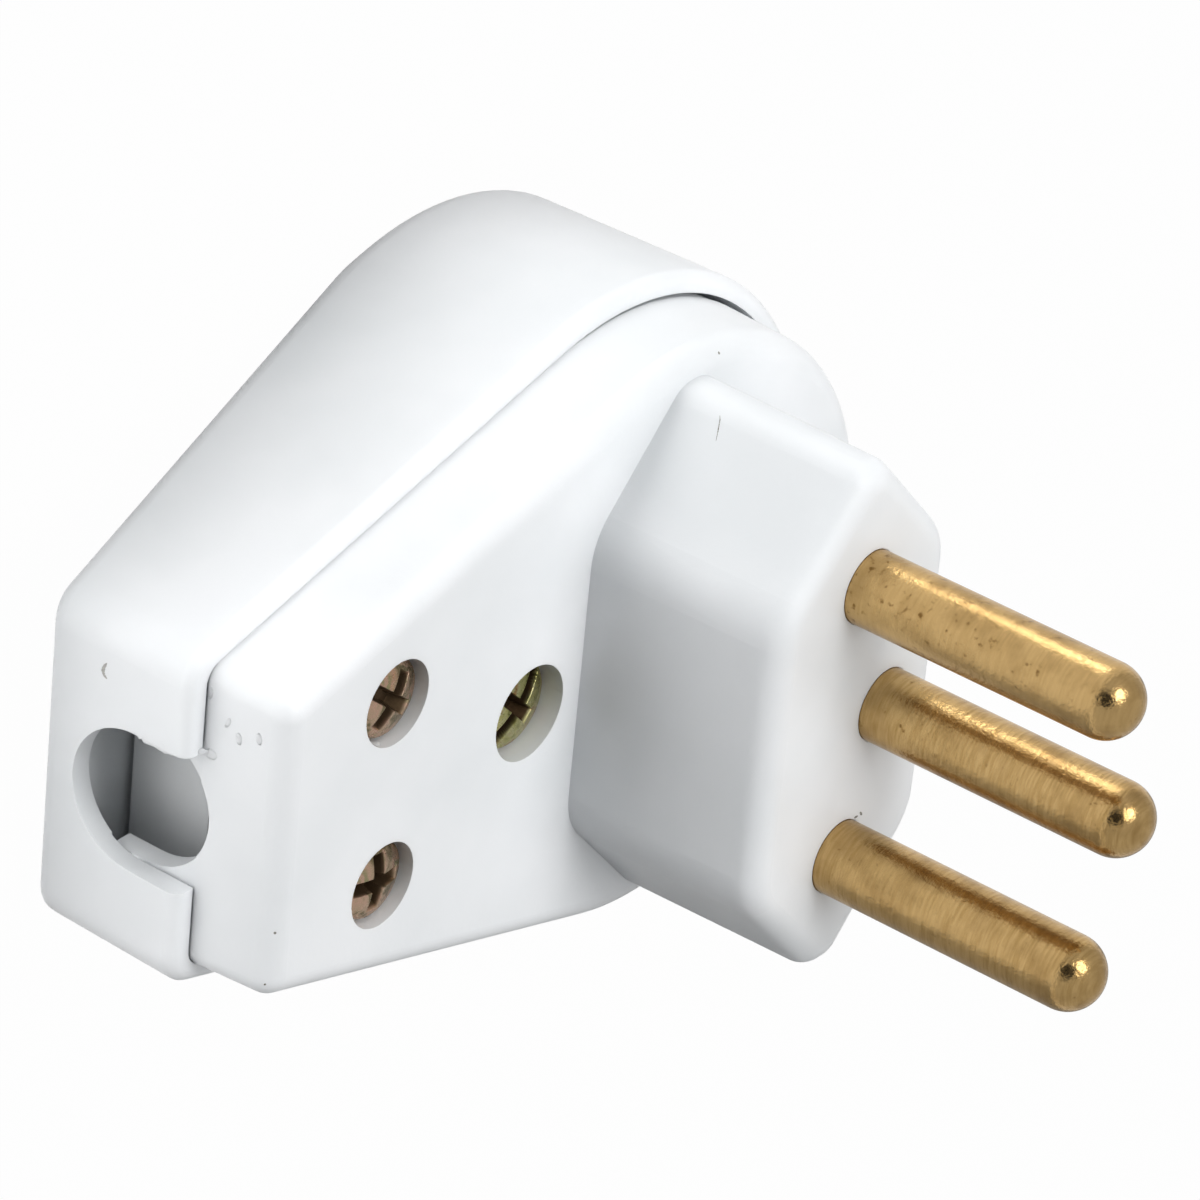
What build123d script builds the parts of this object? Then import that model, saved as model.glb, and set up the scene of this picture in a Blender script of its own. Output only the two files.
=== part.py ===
"""Right-angle rewirable mains plug with three round brass pins, a two-part moulded housing and a cord clamp.

The pins point along +Z. The origin lies on the pin face, midway between the phase and neutral pins.
The cord enters from -X, the earth pin is set off towards +X, and the plug lies on the flat of its back.
"""

import os
from math import cos, radians, sin, tan

from build123d import *

os.makedirs("parts", exist_ok=True)

# Pins
pin_diameter = 4.8
pin_length = 19.6
pin_spacing = 19.0
earth_offset = 3.0
pin_neck_diameter = 4.2
pin_seat_depth = 0.15
pin_fit = 0.05

# Boss that fills the socket's recess
boss_height = 14.1
boss_width = 16.7
boss_length = 35.0
boss_side_length = 19.6
boss_tip_width = 2.2
boss_draft = 0.8
boss_corner_radius = 4.5
boss_tip_radius = 2.0
boss_edge_radius = 1.6
boss_wall = 1.8
face_thickness = 3.0
sleeve_wall = 2.1
sleeve_depth = 7.0
barrier_thickness = 1.5
barrier_depth = 16.0

# Teardrop outline of the housing: a round end behind the pins and two flanks down to a square end
cover_radius = 20.9
round_centre_x = 0.3
flank_angle = 15.6
cover_reach = 37.8

# Base housing
skirt_height = 6.0
skirt_draft = 2.5
skirt_edge_radius = 1.5
end_edge_radius = 1.4
spigot_depth = 6.4
spigot_step = 0.1
base_wall = 1.6
plate_thickness = 2.0
base_setback = 0.4

# Rear cover
cover_depth = 15.85
cover_draft = 1.2
flat_start = -6.8
back_slope = 9.0
back_blend_radius = 10.0
cover_wall = 2.0
end_wall = 1.45
back_wall = 1.8
rim_wall = 1.3
rim_clearance = 0.1
end_clearance = 0.1
rim_edge_radius = 0.8
back_edge_radius = 1.2
cover_corner_radius = 2.4

# Cord entry and clamp
cord_hole_diameter = 9.3
cord_axis_below_rim = 3.9
cut_overrun = 1.0
clamp_width = 8.6
clamp_length = 17.4
clamp_thickness = 6.0
clamp_lift = 0.35
clamp_trough_radius = 6.0
clamp_trough_depth = 0.9
clamp_groove_depth = 0.7
clamp_groove_width = 1.4
clamp_groove_pitch = 2.6
clamp_edge_radius = 0.5
guide_thickness = 1.2
guide_height = 3.0
guide_clearance = 0.3

# Screws
screw_diameter = 3.0
clamp_screw_x = -26.2
clamp_screw_inset = 2.4
clamp_head_diameter = 5.1
clamp_head_height = 2.0
clamp_head_sink = 0.25
clamp_screw_length = 13.0
clamp_recess_span = 3.9
clamp_recess_angles = (52, 86)
cover_screw_x = -13.3
cover_head_diameter = 5.8
cover_head_height = 2.3
cover_head_sink = 0.75
cover_screw_length = 14.0
cover_recess_span = 3.4
cover_recess_angle = 45.6
head_clearance = 0.25
shank_clearance = 0.2
thread_fit = 0.03
seat_thickness = 2.2
seat_wall = 1.6
post_wall = 2.4
head_rim_share = 0.72
recess_width = 0.85
recess_depth = 1.3
recess_taper = 8.0
tip_chamfer = 0.5

# Pillar terminals behind the pins
terminal_diameter = 6.6
terminal_length = 12.0
terminal_chamfer = 0.3
wire_hole_diameter = 2.8
wire_hole_depth = 7.4
terminal_screw_reach = 0.6
terminal_head_diameter = 5.4
terminal_head_height = 1.8
terminal_slot_width = 0.8
terminal_slot_depth = 0.9
tip_relief = 0.6

# Heights and places that follow from the sizes above
front_z = -boss_height
rim_z = front_z - skirt_height
spigot_z = rim_z - spigot_depth
plate_z = front_z - plate_thickness
back_z = rim_z - cover_depth
cord_z = rim_z - cord_axis_below_rim
sleeve_z = -face_thickness - sleeve_depth
terminal_z = sleeve_z - terminal_length
wire_z = sleeve_z - wire_hole_depth
clamp_seat_z = front_z - clamp_head_sink - clamp_head_height
cover_seat_z = front_z - cover_head_sink - cover_head_height
post_top_z = cover_seat_z - seat_thickness
cover_end_x = -cover_reach
clamp_screw_spacing = clamp_length - 2 * clamp_screw_inset
base_radius = cover_radius - rim_wall - rim_clearance
base_end_x = cover_end_x + end_wall + end_clearance
base_centre_x = round_centre_x - base_setback
pin_bore = pin_neck_diameter + 2 * pin_fit
wide = 4 * cover_radius
phase_place = (0, pin_spacing / 2)
neutral_place = (0, -pin_spacing / 2)
earth_place = (earth_offset, 0)
pin_places = (phase_place, neutral_place, earth_place)
clamp_places = (
    (clamp_screw_x, clamp_screw_spacing / 2),
    (clamp_screw_x, -clamp_screw_spacing / 2),
)
cover_place = (cover_screw_x, 0)


def back_height(x, lift=0):
    """Height of the cover's back at x, moved up by lift: sloped towards the cord, then flat."""
    return back_z + lift + max(0, flat_start - x) * tan(radians(back_slope))


def teardrop(radius, centre_x, end_x, corner_radius=0):
    """A round end about centre_x with two tangent flanks that close in to a square end at end_x."""
    slope = radians(flank_angle)
    tangent = (centre_x - radius * sin(slope), radius * cos(slope))
    end_y = tangent[1] - (tangent[0] - end_x) * tan(slope)
    with BuildSketch() as outline:
        with BuildLine():
            ThreePointArc(tangent, (centre_x + radius, 0), (tangent[0], -tangent[1]))
            Polyline((tangent[0], -tangent[1]), (end_x, -end_y), (end_x, end_y), tangent)
        make_face()
        if corner_radius:
            fillet(outline.vertices().group_by(Axis.X)[0], corner_radius)
    return outline.sketch


def boss_outline(inset=0):
    """The boss's long hexagon with blunt tips and rounded corners, moved in by inset."""
    side = (boss_width / 2, boss_side_length / 2)
    tip = (boss_tip_width / 2, boss_length / 2)
    with BuildSketch() as outline:
        with BuildLine():
            Polyline(side, tip, (-tip[0], tip[1]), (-side[0], side[1]))
            mirror(about=Plane.XZ)
            Line(side, (side[0], -side[1]))
            Line((-side[0], side[1]), (-side[0], -side[1]))
        make_face()
        side_corners = outline.vertices().filter_by(lambda corner: abs(corner.X) > boss_tip_width)
        fillet(side_corners, boss_corner_radius)
        tip_corners = outline.vertices().filter_by(lambda corner: abs(corner.X) < boss_tip_width)
        fillet(tip_corners, boss_tip_radius)
        if inset:
            offset(amount=-inset, mode=Mode.REPLACE)
    return outline.sketch


def cord_slot(open_z):
    """The cord entry seen along X: round about the cord's axis and open straight up or down to open_z."""
    with BuildSketch() as outline:
        with Locations((0, cord_z)):
            Circle(cord_hole_diameter / 2)
        with Locations((0, (cord_z + open_z) / 2)):
            Rectangle(cord_hole_diameter, abs(open_z - cord_z))
    return outline.sketch


def is_upright(face):
    return abs(face.normal_at().Z) < 0.001


def is_back_edge(edge):
    """An edge round the cover's back, without the lines where the flat runs into the slope."""
    middle = edge.position_at(0.5)
    if middle.Z > back_height(middle.X, back_edge_radius / 2):
        return False
    return abs(middle.Y) > 0.1 or abs(middle.X - flat_start) > back_blend_radius


def cover_form(inset, end_inset, lift):
    """The cover's solid form with sides that draw in to the back, moved in at its sides, end and back."""
    with BuildPart() as form:
        with BuildSketch(Plane.XY.offset(rim_z)):
            add(teardrop(cover_radius - inset, round_centre_x, cover_end_x + end_inset))
        extrude(amount=back_z + lift - rim_z)
        draft(form.faces().filter_by(is_upright), Plane.XY.offset(rim_z), -cover_draft)
        with BuildSketch(Plane.XZ):
            with BuildLine():
                Polyline(
                    (flat_start, back_z + lift),
                    (-wide, back_height(-wide, lift)),
                    (-wide, back_z + lift),
                    close=True,
                )
            make_face()
        extrude(amount=wide, both=True, mode=Mode.SUBTRACT)
        kink = form.edges().filter_by(Axis.Y).sort_by(Axis.Z)[0]
        fillet(kink, back_blend_radius)
    return form.part


def boss_form():
    """The boss's solid form down into the plate, widening slightly away from the pin face."""
    with BuildPart() as form:
        with BuildSketch():
            add(boss_outline())
        extrude(amount=plate_z)
        draft(form.faces().filter_by(is_upright), Plane.XY, boss_draft)
        fillet(form.faces().sort_by(Axis.Z)[-1].edges(), boss_edge_radius)
    return form.part


def pin_form():
    """A pin about the Z axis: domed tip, shoulder in its seat, neck in the moulded sleeve, pillar terminal."""
    radius = pin_diameter / 2
    neck_radius = pin_neck_diameter / 2
    with BuildPart() as form:
        with BuildSketch(Plane.XZ):
            with BuildLine():
                Polyline(
                    (0, pin_length),
                    (0, terminal_z),
                    (terminal_diameter / 2 - terminal_chamfer, terminal_z),
                    (terminal_diameter / 2, terminal_z + terminal_chamfer),
                    (terminal_diameter / 2, sleeve_z),
                    (neck_radius, sleeve_z),
                    (neck_radius, -pin_seat_depth),
                    (radius, -pin_seat_depth),
                    (radius, pin_length - radius),
                )
                RadiusArc((radius, pin_length - radius), (0, pin_length), -radius)
            make_face()
        revolve(axis=Axis.Z)
        with BuildSketch(Plane.YZ):
            with Locations((0, wire_z)):
                Circle(wire_hole_diameter / 2)
        extrude(amount=terminal_diameter, both=True, mode=Mode.SUBTRACT)
        with BuildSketch(Plane.XY.offset(terminal_z)):
            Circle(screw_diameter / 2 + thread_fit)
        extrude(amount=wire_z - terminal_z, mode=Mode.SUBTRACT)
    return form.part


def terminal_screw_form():
    """The slotted screw that closes a pillar terminal from behind, its head bearing on the terminal."""
    with BuildPart() as form:
        with BuildSketch(Plane.XY.offset(terminal_z)):
            Circle(screw_diameter / 2)
        extrude(amount=wire_z - wire_hole_diameter / 2 + terminal_screw_reach - terminal_z)
        chamfer(form.faces().sort_by(Axis.Z)[-1].edges(), tip_chamfer)
        with BuildSketch(Plane.XY.offset(terminal_z)):
            Circle(terminal_head_diameter / 2)
        extrude(amount=-terminal_head_height)
        fillet(form.faces().sort_by(Axis.Z)[0].edges(), tip_chamfer)
        with BuildSketch(Plane.XY.offset(terminal_z - terminal_head_height)):
            Rectangle(2 * terminal_head_diameter, terminal_slot_width)
        extrude(amount=terminal_slot_depth, mode=Mode.SUBTRACT)
    return form.part


def screw_form(head_diameter, head_height, length, recess_span, slot_span):
    """A domed screw with its head's seat at the origin and a cross recess, one arm run out into a slot."""
    head_radius = head_diameter / 2
    shank_radius = screw_diameter / 2
    rim = head_rim_share * head_height
    with BuildPart() as form:
        with BuildSketch(Plane.XZ):
            with BuildLine():
                Polyline(
                    (0, head_height),
                    (0, -length),
                    (shank_radius - tip_chamfer, -length),
                    (shank_radius, tip_chamfer - length),
                    (shank_radius, 0),
                    (head_radius, 0),
                    (head_radius, rim),
                )
                dome = head_height - rim
                dome_radius = (head_radius**2 + dome**2) / (2 * dome)
                RadiusArc((head_radius, rim), (0, head_height), -dome_radius)
            make_face()
        revolve(axis=Axis.Z)
        with BuildSketch(Plane.XY.offset(head_height)):
            Rectangle(recess_span, recess_width)
            Rectangle(recess_width, recess_span)
        extrude(amount=-recess_depth, taper=recess_taper, mode=Mode.SUBTRACT)
        if slot_span:
            with BuildSketch(Plane.XY.offset(head_height)):
                Rectangle(slot_span, recess_width)
            extrude(amount=-recess_depth, mode=Mode.SUBTRACT)
    return form.part


# Rear cover: drafted shell with a stepped rim, a screw post and two guides for the cord clamp
with BuildPart() as rear_cover:
    add(cover_form(0, 0, 0))
    upright_edges = rear_cover.edges().filter_by(lambda edge: abs(edge.tangent_at(0.5).Z) > 0.9)
    fillet(upright_edges.group_by(Axis.X)[0], cover_corner_radius)
    fillet(rear_cover.edges().filter_by(is_back_edge), back_edge_radius)
    fillet(rear_cover.faces().sort_by(Axis.Z)[-1].edges(), rim_edge_radius)
    add(cover_form(cover_wall, end_wall, back_wall), mode=Mode.SUBTRACT)
    with BuildSketch(Plane.XY.offset(rim_z)):
        add(teardrop(cover_radius - rim_wall, round_centre_x, cover_end_x + end_wall, end_edge_radius))
    extrude(amount=-spigot_depth, mode=Mode.SUBTRACT)
    with BuildSketch(Plane.XY.offset(post_top_z)):
        with Locations(cover_place):
            Circle(screw_diameter / 2 + post_wall)
    extrude(amount=back_height(cover_screw_x, back_wall / 2) - post_top_z)
    with Locations((*cover_place, post_top_z)):
        Hole(screw_diameter / 2 + thread_fit, cover_screw_length - seat_thickness + tip_relief)
    guide_y = clamp_length / 2 + guide_clearance + guide_thickness / 2
    with BuildSketch(Plane.XY.offset(back_height(clamp_screw_x, back_wall / 2) + guide_height)):
        with Locations((clamp_screw_x, guide_y), (clamp_screw_x, -guide_y)):
            Rectangle(clamp_width, guide_thickness)
    extrude(amount=-guide_height)
    with BuildSketch(Plane.YZ.offset(cover_end_x)):
        add(cord_slot(rim_z + cut_overrun))
    extrude(amount=2 * cover_wall, both=True, mode=Mode.SUBTRACT)

# Base housing: plate and skirt with a spigot into the cover, and the hollow boss that carries the pins
with BuildPart() as base_housing:
    with BuildSketch(Plane.XY.offset(rim_z)):
        add(teardrop(base_radius, base_centre_x, base_end_x))
    extrude(amount=skirt_height)
    draft(base_housing.faces().filter_by(is_upright), Plane.XY.offset(rim_z), skirt_draft)
    front_edges = base_housing.faces().sort_by(Axis.Z)[-1].edges()
    fillet(front_edges.sort_by(Axis.X)[1:], skirt_edge_radius)
    end_edges = base_housing.faces().sort_by(Axis.X)[0].edges()
    fillet(end_edges.filter_by(lambda edge: edge.center().Z > rim_z + skirt_height / 4), end_edge_radius)
    with BuildSketch(Plane.XY.offset(rim_z)):
        add(teardrop(base_radius - spigot_step, base_centre_x, base_end_x + spigot_step, end_edge_radius))
    extrude(amount=-spigot_depth)
    add(boss_form())
    with BuildSketch(Plane.XY.offset(plate_z)):
        add(teardrop(base_radius - base_wall, base_centre_x, base_end_x + base_wall))
    extrude(amount=spigot_z - plate_z, mode=Mode.SUBTRACT)
    with BuildSketch(Plane.XY.offset(-face_thickness)):
        add(boss_outline(boss_wall))
    extrude(amount=plate_z + face_thickness, mode=Mode.SUBTRACT)
    with BuildSketch(Plane.XY.offset(-face_thickness)):
        with Locations(*pin_places):
            Circle(pin_bore / 2 + sleeve_wall)
    extrude(amount=-sleeve_depth)
    barrier_y = (phase_place[1] + earth_place[1]) / 2
    with BuildSketch(Plane.XY.offset(-face_thickness)):
        with Locations((0, barrier_y), (0, -barrier_y)):
            Rectangle(boss_width - boss_wall, barrier_thickness)
    extrude(amount=-barrier_depth)
    with BuildSketch(Plane.XY.offset(plate_z)):
        with Locations(*clamp_places):
            Circle(clamp_head_diameter / 2 + head_clearance + seat_wall)
    extrude(amount=clamp_seat_z - seat_thickness - plate_z)
    with BuildSketch(Plane.XY.offset(plate_z)):
        with Locations(cover_place):
            Circle(cover_head_diameter / 2 + head_clearance + seat_wall)
    extrude(amount=post_top_z - plate_z)
    with BuildSketch(Plane.XY):
        with Locations(*pin_places):
            Circle(pin_bore / 2)
    extrude(amount=sleeve_z, mode=Mode.SUBTRACT)
    with BuildSketch(Plane.XY):
        with Locations(*pin_places):
            Circle(pin_diameter / 2 + pin_fit)
    extrude(amount=-pin_seat_depth, mode=Mode.SUBTRACT)
    with Locations(*[(*place, front_z) for place in clamp_places]):
        CounterBoreHole(
            screw_diameter / 2 + shank_clearance,
            clamp_head_diameter / 2 + head_clearance,
            front_z - clamp_seat_z,
            skirt_height,
        )
    with Locations((*cover_place, front_z)):
        CounterBoreHole(
            screw_diameter / 2 + shank_clearance,
            cover_head_diameter / 2 + head_clearance,
            front_z - cover_seat_z,
            skirt_height,
        )
    with BuildSketch(Plane.YZ.offset(base_end_x)):
        add(cord_slot(spigot_z - cut_overrun))
    extrude(amount=2 * base_wall, both=True, mode=Mode.SUBTRACT)

# Pins with their terminals and terminal screws
with BuildPart() as phase_pin:
    with Locations(phase_place):
        add(pin_form())

with BuildPart() as neutral_pin:
    with Locations(neutral_place):
        add(pin_form())

with BuildPart() as earth_pin:
    with Locations(earth_place):
        add(pin_form())

with BuildPart() as phase_terminal_screw:
    with Locations(phase_place):
        add(terminal_screw_form())

with BuildPart() as neutral_terminal_screw:
    with Locations(neutral_place):
        add(terminal_screw_form())

with BuildPart() as earth_terminal_screw:
    with Locations(earth_place):
        add(terminal_screw_form())

# Cord clamp: a bar with a ribbed trough, drawn up against the cord by its two screws
with BuildPart() as cord_clamp:
    clamp_bottom_z = back_height(clamp_screw_x - clamp_width / 2, back_wall + clamp_lift)
    clamp_top_z = clamp_bottom_z + clamp_thickness
    with BuildSketch(Plane.XY.offset(clamp_bottom_z)):
        with Locations((clamp_screw_x, 0)):
            Rectangle(clamp_width, clamp_length)
    extrude(amount=clamp_thickness)
    fillet(cord_clamp.edges().filter_by(Axis.Z), clamp_edge_radius)
    with BuildSketch(Plane.YZ.offset(clamp_screw_x)):
        with Locations((0, clamp_top_z + clamp_trough_radius - clamp_trough_depth)):
            Circle(clamp_trough_radius)
    extrude(amount=clamp_width, both=True, mode=Mode.SUBTRACT)
    for groove in (-clamp_groove_pitch, 0, clamp_groove_pitch):
        with BuildSketch(Plane.YZ.offset(clamp_screw_x + groove)):
            with Locations((0, clamp_top_z + clamp_trough_radius - clamp_trough_depth - clamp_groove_depth)):
                Circle(clamp_trough_radius)
        extrude(amount=clamp_groove_width / 2, both=True, mode=Mode.SUBTRACT)
    with Locations(*[(*place, clamp_top_z) for place in clamp_places]):
        Hole(screw_diameter / 2 + thread_fit, clamp_thickness)

# Screws of the clamp and of the cover
clamp_screw = screw_form(clamp_head_diameter, clamp_head_height, clamp_screw_length, clamp_recess_span, 0)
with BuildPart() as clamp_screw_phase_side:
    with Locations(Location((*clamp_places[0], clamp_seat_z), (0, 0, clamp_recess_angles[0]))):
        add(clamp_screw)

with BuildPart() as clamp_screw_neutral_side:
    with Locations(Location((*clamp_places[1], clamp_seat_z), (0, 0, clamp_recess_angles[1]))):
        add(clamp_screw)

with BuildPart() as cover_screw:
    with Locations(Location((*cover_place, cover_seat_z), (0, 0, cover_recess_angle))):
        add(
            screw_form(
                cover_head_diameter,
                cover_head_height,
                cover_screw_length,
                cover_recess_span,
                2 * cover_head_diameter,
            )
        )

base_housing.part.label = "base_housing"
export_step(base_housing.part, "parts/base_housing.step")
rear_cover.part.label = "rear_cover"
export_step(rear_cover.part, "parts/rear_cover.step")
phase_pin.part.label = "phase_pin"
export_step(phase_pin.part, "parts/phase_pin.step")
neutral_pin.part.label = "neutral_pin"
export_step(neutral_pin.part, "parts/neutral_pin.step")
earth_pin.part.label = "earth_pin"
export_step(earth_pin.part, "parts/earth_pin.step")
phase_terminal_screw.part.label = "phase_terminal_screw"
export_step(phase_terminal_screw.part, "parts/phase_terminal_screw.step")
neutral_terminal_screw.part.label = "neutral_terminal_screw"
export_step(neutral_terminal_screw.part, "parts/neutral_terminal_screw.step")
earth_terminal_screw.part.label = "earth_terminal_screw"
export_step(earth_terminal_screw.part, "parts/earth_terminal_screw.step")
cord_clamp.part.label = "cord_clamp"
export_step(cord_clamp.part, "parts/cord_clamp.step")
clamp_screw_phase_side.part.label = "clamp_screw_phase_side"
export_step(clamp_screw_phase_side.part, "parts/clamp_screw_phase_side.step")
clamp_screw_neutral_side.part.label = "clamp_screw_neutral_side"
export_step(clamp_screw_neutral_side.part, "parts/clamp_screw_neutral_side.step")
cover_screw.part.label = "cover_screw"
export_step(cover_screw.part, "parts/cover_screw.step")
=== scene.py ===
"""Looks of the right-angle mains plug: moulded housing, turned brass pins and plated screws."""

from math import cos, pi, radians, sin

import bpy
import numpy as np
from bpy.props import FloatProperty, FloatVectorProperty, IntProperty, PointerProperty
from bpy.types import Operator, Panel, PropertyGroup
from mathutils import Matrix, Vector
from mathutils.bvhtree import BVHTree


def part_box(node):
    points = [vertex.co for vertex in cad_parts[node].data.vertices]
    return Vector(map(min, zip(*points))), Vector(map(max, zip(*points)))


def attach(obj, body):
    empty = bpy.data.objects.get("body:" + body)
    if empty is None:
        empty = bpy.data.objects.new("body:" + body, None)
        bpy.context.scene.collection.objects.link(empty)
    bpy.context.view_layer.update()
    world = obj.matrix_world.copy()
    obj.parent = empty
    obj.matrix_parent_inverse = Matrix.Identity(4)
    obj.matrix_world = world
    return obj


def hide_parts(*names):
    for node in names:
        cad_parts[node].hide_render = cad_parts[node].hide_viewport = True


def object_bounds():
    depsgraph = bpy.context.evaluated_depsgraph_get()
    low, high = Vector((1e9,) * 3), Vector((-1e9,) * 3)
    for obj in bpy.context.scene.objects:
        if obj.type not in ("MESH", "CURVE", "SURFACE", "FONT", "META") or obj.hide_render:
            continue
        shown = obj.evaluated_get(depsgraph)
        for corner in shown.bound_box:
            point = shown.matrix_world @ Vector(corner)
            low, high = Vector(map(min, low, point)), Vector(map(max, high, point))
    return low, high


bl_info = {
    "name": "Right-angle plug looks",
    "version": (1, 0, 0),
    "blender": (4, 5, 0),
    "location": "View3D > Sidebar > Plug",
    "description": "Dresses the CAD model of a right-angle mains plug, and sets up its stage",
    "category": "Object",
}

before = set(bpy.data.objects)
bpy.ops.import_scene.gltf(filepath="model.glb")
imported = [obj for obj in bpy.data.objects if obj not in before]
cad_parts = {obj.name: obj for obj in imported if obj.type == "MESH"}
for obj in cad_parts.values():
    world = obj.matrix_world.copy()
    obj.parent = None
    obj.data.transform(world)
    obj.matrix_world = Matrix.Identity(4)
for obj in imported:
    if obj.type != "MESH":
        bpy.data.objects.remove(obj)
cad_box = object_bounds()
mm = 0.001
# The photograph's width in pixels, and the camera sensor's in mm.
image_size = 1200
sensor_width = 36
black, white = (0, 0, 0, 1), (1, 1, 1, 1)
# Edges sharper than these stay crisp.
turned_edge, struck_edge, slotted_edge = radians(50), radians(60), radians(32)


def linear(code):
    """The linear RGB of an sRGB hex colour."""
    parts = [int(code[i : i + 2], 16) / 255 for i in (1, 3, 5)]
    return tuple(p / 12.92 if p <= 0.04045 else ((p + 0.055) / 1.055) ** 2.4 for p in parts)


def rgba(colour):
    """A colour with full opacity."""
    return (*colour, 1.0)


def grey(value):
    """A grey with full opacity."""
    return (value, value, value, 1.0)


class PlugHousingSettings(PropertyGroup):
    """Finish of the moulded housing and of the cord clamp."""

    colour: FloatVectorProperty(
        name="Housing colour", description="White of the moulding", subtype="COLOR", default=linear("#ECEEF0")
    )
    shade: FloatVectorProperty(
        name="Flow shade",
        description="Faint shade of its flow marks",
        subtype="COLOR",
        default=linear("#E4E7E9"),
    )
    clamp_colour: FloatVectorProperty(
        name="Clamp colour", description="Grey of the cord clamp", subtype="COLOR", default=linear("#E2E4E5")
    )
    roughness: FloatProperty(
        name="Roughness", description="Satin of the moulded skin", subtype="FACTOR", default=0.4, min=0, max=1
    )
    grain: FloatProperty(
        name="Grain", description="Width of the fine moulded grain", unit="LENGTH", default=0.45 * mm
    )
    wave: FloatProperty(
        name="Waviness", description="Width of the slow sink waves", unit="LENGTH", default=9 * mm
    )
    sharp_angle: FloatProperty(
        name="Sharp angle",
        description="Edges sharper than this stay crisp",
        subtype="ANGLE",
        default=radians(32),
    )


class PlugPinSettings(PropertyGroup):
    """Form and finish of the turned pins."""

    colour: FloatVectorProperty(
        name="Brass", description="Colour of the turned brass", subtype="COLOR", default=linear("#C6A56F")
    )
    groove_colour: FloatVectorProperty(
        name="Groove", description="Colour in the tool rings", subtype="COLOR", default=linear("#AE8D58")
    )
    tarnish: FloatVectorProperty(
        name="Tarnish", description="Brown of the tarnish", subtype="COLOR", default=linear("#98794B")
    )
    speck_colour: FloatVectorProperty(
        name="Specks", description="Brown of the corroded specks", subtype="COLOR", default=linear("#745327")
    )
    radius: FloatProperty(name="Radius", description="Radius of a pin", unit="LENGTH", default=2.4 * mm)
    seat_depth: FloatProperty(
        name="Seat depth",
        description="Depth of the pin's seat in the pin face",
        unit="LENGTH",
        default=0.15 * mm,
    )
    neck_radius: FloatProperty(
        name="Neck radius", description="Radius inside the moulding", unit="LENGTH", default=2.1 * mm
    )
    pillar_radius: FloatProperty(
        name="Pillar radius", description="Radius of the terminal", unit="LENGTH", default=3.3 * mm
    )
    pillar_top: FloatProperty(
        name="Pillar top", description="Depth of the terminal's shoulder", unit="LENGTH", default=10 * mm
    )
    pillar_chamfer: FloatProperty(
        name="Pillar chamfer", description="Chamfer at the terminal's foot", unit="LENGTH", default=0.3 * mm
    )
    wire_depth: FloatProperty(
        name="Wire hole depth", description="Depth of the wire hole", unit="LENGTH", default=17.4 * mm
    )
    wire_radius: FloatProperty(
        name="Wire hole radius", description="Radius of the wire hole", unit="LENGTH", default=1.4 * mm
    )
    tapped_radius: FloatProperty(
        name="Tapped radius",
        description="Radius of the terminal screw's hole",
        unit="LENGTH",
        default=1.53 * mm,
    )
    feed: FloatProperty(
        name="Tool feed", description="Distance between tool rings", unit="LENGTH", default=0.17 * mm
    )
    groove: FloatProperty(
        name="Groove depth", description="Depth of the deepest tool ring", unit="LENGTH", default=0.004 * mm
    )
    around: IntProperty(name="Facets", description="Points round a pin", default=96, min=12)


class PlugScrewSettings(PropertyGroup):
    """Form of the plated screws."""

    clamp_head: FloatProperty(
        name="Clamp head", description="Diameter of a clamp screw's head", unit="LENGTH", default=5.1 * mm
    )
    clamp_height: FloatProperty(
        name="Clamp head height",
        description="Height of a clamp screw's head",
        unit="LENGTH",
        default=2.0 * mm,
    )
    clamp_length: FloatProperty(
        name="Clamp shank", description="Length of a clamp screw's shank", unit="LENGTH", default=13.0 * mm
    )
    clamp_span: FloatProperty(
        name="Clamp recess", description="Span of a clamp screw's cross", unit="LENGTH", default=3.9 * mm
    )
    cover_head: FloatProperty(
        name="Cover head", description="Diameter of the cover screw's head", unit="LENGTH", default=5.8 * mm
    )
    cover_height: FloatProperty(
        name="Cover head height",
        description="Height of the cover screw's head",
        unit="LENGTH",
        default=2.3 * mm,
    )
    cover_length: FloatProperty(
        name="Cover shank", description="Length of the cover screw's shank", unit="LENGTH", default=14.0 * mm
    )
    cover_span: FloatProperty(
        name="Cover recess", description="Span of the cover screw's cross", unit="LENGTH", default=3.4 * mm
    )
    rim_share: FloatProperty(
        name="Rim share", description="Share of a head's height that is rim", subtype="FACTOR", default=0.72
    )
    shank_radius: FloatProperty(
        name="Shank radius", description="Radius over the thread", unit="LENGTH", default=1.5 * mm
    )
    thread_pitch: FloatProperty(
        name="Thread pitch", description="Rise of the thread in a turn", unit="LENGTH", default=0.7 * mm
    )
    thread_depth: FloatProperty(
        name="Thread depth", description="Depth of the thread", unit="LENGTH", default=0.28 * mm
    )
    recess_width: FloatProperty(
        name="Recess width", description="Width of a recess arm", unit="LENGTH", default=1.0 * mm
    )
    recess_depth: FloatProperty(
        name="Recess depth", description="Depth of the recess", unit="LENGTH", default=1.3 * mm
    )
    around: IntProperty(name="Facets", description="Points round a head", default=288, min=12)


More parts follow.
